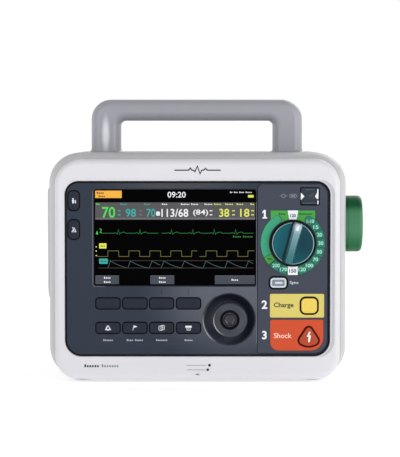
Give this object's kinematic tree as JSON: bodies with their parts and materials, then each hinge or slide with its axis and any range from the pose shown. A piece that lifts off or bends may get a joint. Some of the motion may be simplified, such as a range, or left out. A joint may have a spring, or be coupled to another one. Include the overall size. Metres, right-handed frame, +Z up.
{
  "type": "monitor defibrillator",
  "caption": "Portable monitor defibrillator with a carrying handle, screen and keys, therapy dial, charge and shock buttons, side sockets, strip printer and slide-out battery.",
  "frame": {"origin": "centre of the overall outline seen from above, on the surface that the feet stand on", "axes": "+X to the right seen from the front, where the therapy port is; +Y from the front face to the rear; +Z up"},
  "size_m": [0.3084, 0.221, 0.274],
  "materials": {
    "white_shell": "fine satin moulding",
    "grey_shell": "fine texture",
    "handle_grey": "satin, softly textured",
    "panel_dark": "matte overlay film",
    "key_dark": "matte",
    "screen_glass": "clear hard-coated cover",
    "dial_green": "printed overlay",
    "knob_teal": "satin",
    "charge_yellow": "printed overlay",
    "shock_orange": "printed overlay",
    "sync_white": "satin",
    "port_green": "satin",
    "rubber_dark": "matte",
    "silicone_grey": "matte silicone",
    "moulding_black": "matte",
    "socket_blue": "satin",
    "paper_white": "thermal paper",
    "steel": "plated",
    "sheet_aluminium": "as rolled"
  },
  "bodies": {
    "main_unit": {"front_bezel": "white_shell", "case_gasket": "rubber_dark", "rear_housing": "grey_shell", "handle_front_shell": "handle_grey", "handle_rear_shell": "handle_grey", "handle_screw_left": "steel", "handle_screw_right": "steel", "foot_front_left": "rubber_dark", "foot_front_right": "rubber_dark", "foot_rear_left": "rubber_dark", "foot_rear_right": "rubber_dark", "connector_panel": "grey_shell", "ecg_socket": "port_green", "oximetry_socket": "socket_blue", "pressure_port": "moulding_black", "gas_inlet": "charge_yellow", "therapy_port": "port_green", "therapy_contacts": "moulding_black", "mains_inlet": "moulding_black", "network_socket": "silicone_grey", "printer_frame": "moulding_black", "printer_hinge_pin": "steel", "print_head": "sheet_aluminium", "display_window": "screen_glass", "lcd_module": "moulding_black", "control_panel": "panel_dark", "therapy_panel": "panel_dark", "dial_plate": "dial_green", "charge_plate": "charge_yellow", "shock_plate": "shock_orange", "keypad_mat": "silicone_grey", "select_dish": "panel_dark", "select_encoder": "moulding_black", "therapy_switch": "moulding_black", "ready_window": "screen_glass", "chassis": "sheet_aluminium", "energy_capacitor": "sheet_aluminium"},
    "soft_key_1": {"soft_key_1": "key_dark"},
    "soft_key_2": {"soft_key_2": "key_dark"},
    "soft_key_3": {"soft_key_3": "key_dark"},
    "soft_key_4": {"soft_key_4": "key_dark"},
    "function_key_1": {"function_key_1": "key_dark"},
    "function_key_2": {"function_key_2": "key_dark"},
    "function_key_3": {"function_key_3": "key_dark"},
    "function_key_4": {"function_key_4": "key_dark"},
    "side_key_1": {"side_key_1": "key_dark"},
    "side_key_2": {"side_key_2": "key_dark"},
    "sync_button": {"sync_button": "sync_white"},
    "charge_button": {"charge_button": "charge_yellow"},
    "shock_button": {"shock_button": "shock_orange"},
    "therapy_knob": {"therapy_knob": "knob_teal"},
    "select_plunger": {"select_shaft": "steel"},
    "select_knob": {"select_knob": "key_dark", "select_cap": "key_dark"},
    "printer_door": {"printer_door": "grey_shell"},
    "platen_roller": {"platen_roller": "rubber_dark"},
    "paper_roll": {"paper_roll": "paper_white"},
    "printer_release_button": {"printer_release_button": "handle_grey"},
    "battery_pack": {"battery_pack": "moulding_black"},
    "battery_latch": {"battery_latch": "handle_grey"}
  },
  "joints": [
    {"name": "soft_key_1_press", "type": "slide", "parent": "main_unit", "child": "soft_key_1", "axis": [0, 1, 0], "range_m": [0, 0.0006], "stiffness_N_per_m": 500},
    {"name": "soft_key_2_press", "type": "slide", "parent": "main_unit", "child": "soft_key_2", "axis": [0, 1, 0], "range_m": [0, 0.0006], "stiffness_N_per_m": 500},
    {"name": "soft_key_3_press", "type": "slide", "parent": "main_unit", "child": "soft_key_3", "axis": [0, 1, 0], "range_m": [0, 0.0006], "stiffness_N_per_m": 500},
    {"name": "soft_key_4_press", "type": "slide", "parent": "main_unit", "child": "soft_key_4", "axis": [0, 1, 0], "range_m": [0, 0.0006], "stiffness_N_per_m": 500},
    {"name": "function_key_1_press", "type": "slide", "parent": "main_unit", "child": "function_key_1", "axis": [0, 1, 0], "range_m": [0, 0.0006], "stiffness_N_per_m": 500},
    {"name": "function_key_2_press", "type": "slide", "parent": "main_unit", "child": "function_key_2", "axis": [0, 1, 0], "range_m": [0, 0.0006], "stiffness_N_per_m": 500},
    {"name": "function_key_3_press", "type": "slide", "parent": "main_unit", "child": "function_key_3", "axis": [0, 1, 0], "range_m": [0, 0.0006], "stiffness_N_per_m": 500},
    {"name": "function_key_4_press", "type": "slide", "parent": "main_unit", "child": "function_key_4", "axis": [0, 1, 0], "range_m": [0, 0.0006], "stiffness_N_per_m": 500},
    {"name": "side_key_1_press", "type": "slide", "parent": "main_unit", "child": "side_key_1", "axis": [0, 1, 0], "range_m": [0, 0.0006], "stiffness_N_per_m": 500},
    {"name": "side_key_2_press", "type": "slide", "parent": "main_unit", "child": "side_key_2", "axis": [0, 1, 0], "range_m": [0, 0.0006], "stiffness_N_per_m": 500},
    {"name": "sync_press", "type": "slide", "parent": "main_unit", "child": "sync_button", "axis": [0, 1, 0], "range_m": [0, 0.0008], "stiffness_N_per_m": 600},
    {"name": "charge_press", "type": "slide", "parent": "main_unit", "child": "charge_button", "axis": [0, 1, 0], "range_m": [0, 0.0012], "stiffness_N_per_m": 600},
    {"name": "shock_press", "type": "slide", "parent": "main_unit", "child": "shock_button", "axis": [0, 1, 0], "range_m": [0, 0.0012], "stiffness_N_per_m": 600},
    {"name": "therapy_select_turn", "type": "hinge", "parent": "main_unit", "child": "therapy_knob", "pos_m": [0.0833, -0.0937, 0.1353], "axis": [0, 1, 0], "range_deg": [-33, 220]},
    {"name": "select_press", "type": "slide", "parent": "main_unit", "child": "select_plunger", "axis": [0, 1, 0], "range_m": [0, 0.0008], "stiffness_N_per_m": 600},
    {"name": "select_turn", "type": "hinge", "parent": "select_plunger", "child": "select_knob", "pos_m": [0.023, -0.0937, 0.0623], "axis": [0, 1, 0], "continuous": true},
    {"name": "printer_door_hinge", "type": "hinge", "parent": "main_unit", "child": "printer_door", "pos_m": [0.135, 0.0455, 0.0346], "axis": [0, 1, 0], "range_deg": [0, 85]},
    {"name": "platen_spin", "type": "hinge", "parent": "printer_door", "child": "platen_roller", "pos_m": [0.1272, 0.0455, 0.093], "axis": [0, 1, 0], "continuous": true},
    {"name": "paper_spin", "type": "hinge", "parent": "main_unit", "child": "paper_roll", "pos_m": [0.1082, 0.0455, 0.06], "axis": [0, 1, 0], "continuous": true},
    {"name": "printer_release_press", "type": "slide", "parent": "main_unit", "child": "printer_release_button", "axis": [-1, 0, 0], "range_m": [0, 0.0015], "stiffness_N_per_m": 600},
    {"name": "battery_slide", "type": "slide", "parent": "main_unit", "child": "battery_pack", "axis": [0, 1, 0], "range_m": [0, 0.078]},
    {"name": "battery_latch_press", "type": "slide", "parent": "battery_pack", "child": "battery_latch", "axis": [0, -1, 0], "range_m": [0, 0.002], "stiffness_N_per_m": 600}
  ],
  "couplings": [
    {"joint": "platen_spin", "follows": "paper_spin", "ratio": -3.4}
  ]
}
